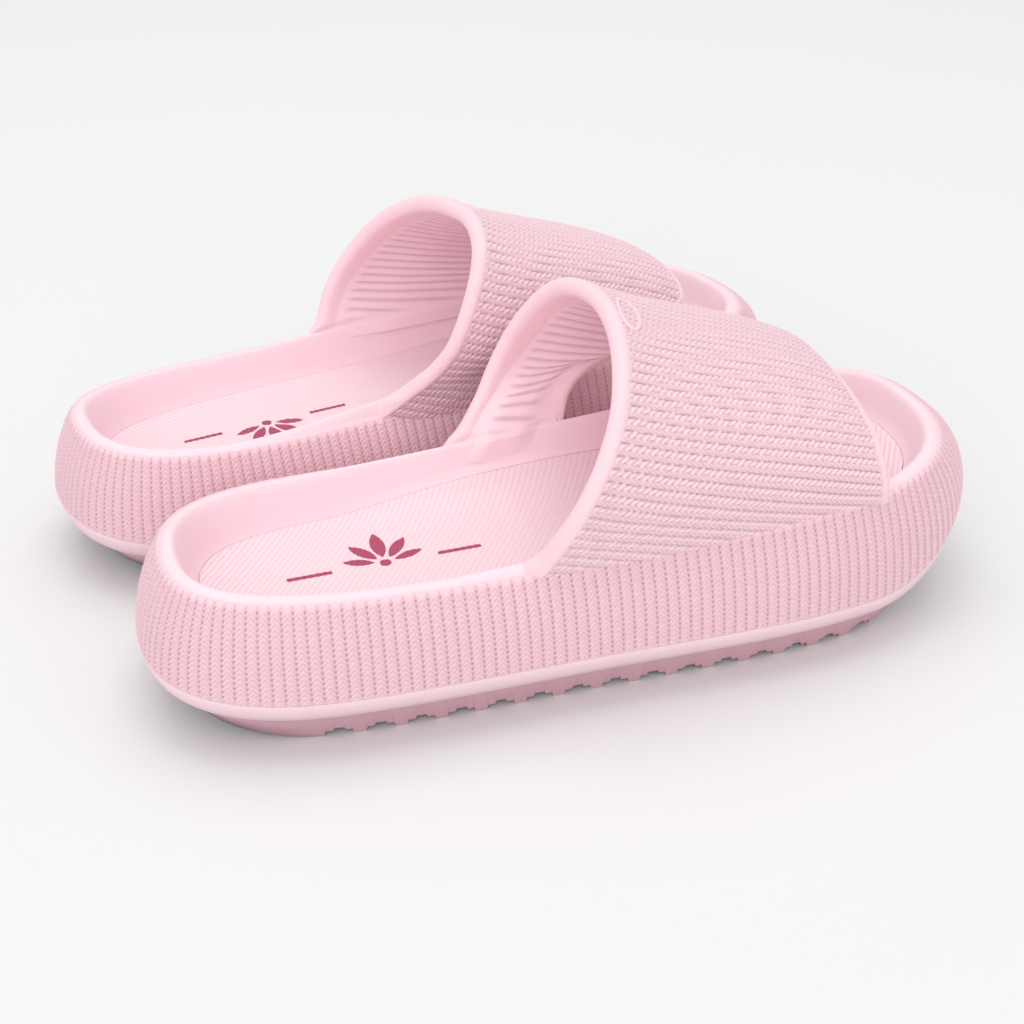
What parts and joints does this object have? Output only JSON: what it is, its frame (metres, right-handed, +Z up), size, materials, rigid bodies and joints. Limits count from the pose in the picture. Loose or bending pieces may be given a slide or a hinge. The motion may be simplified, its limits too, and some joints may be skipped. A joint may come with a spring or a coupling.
{
  "type": "spa slippers",
  "caption": "Cushioned foam slide slippers, left and right, with a wide braided strap, knit-look sides and a grooved tread.",
  "frame": {"origin": "on the floor under the middle of the pair", "axes": "+Y heel to toe of the right slipper, +X to the wearer's right, +Z up"},
  "size_m": [0.2305, 0.2945, 0.1088],
  "materials": {
    "outsole_rubber": "matte moulded foam rubber",
    "midsole_foam": "matte foam, knit-look side wall",
    "footbed_foam": "matte foam, fine diagonal ribs",
    "strap_knit_foam": "matte foam, braided rows",
    "lining_foam": "matte foam, grooved",
    "edge_foam": "smooth satin foam",
    "print_ink": "matte ink film"
  },
  "bodies": {
    "right_slipper": {"right_outsole": "outsole_rubber", "right_midsole": "midsole_foam", "right_footbed": "footbed_foam", "right_strap": "strap_knit_foam", "right_lining": "lining_foam", "right_collar": "edge_foam", "right_front_trim": "edge_foam", "right_print": "print_ink"},
    "left_slipper": {"left_outsole": "outsole_rubber", "left_midsole": "midsole_foam", "left_footbed": "footbed_foam", "left_strap": "strap_knit_foam", "left_lining": "lining_foam", "left_collar": "edge_foam", "left_front_trim": "edge_foam", "left_print": "print_ink"}
  },
  "joints": [
    {"name": "left_slipper_lift", "type": "slide", "parent": "right_slipper", "child": "left_slipper", "axis": [0, 0, 1], "range_m": [0, 0.3]}
  ]
}
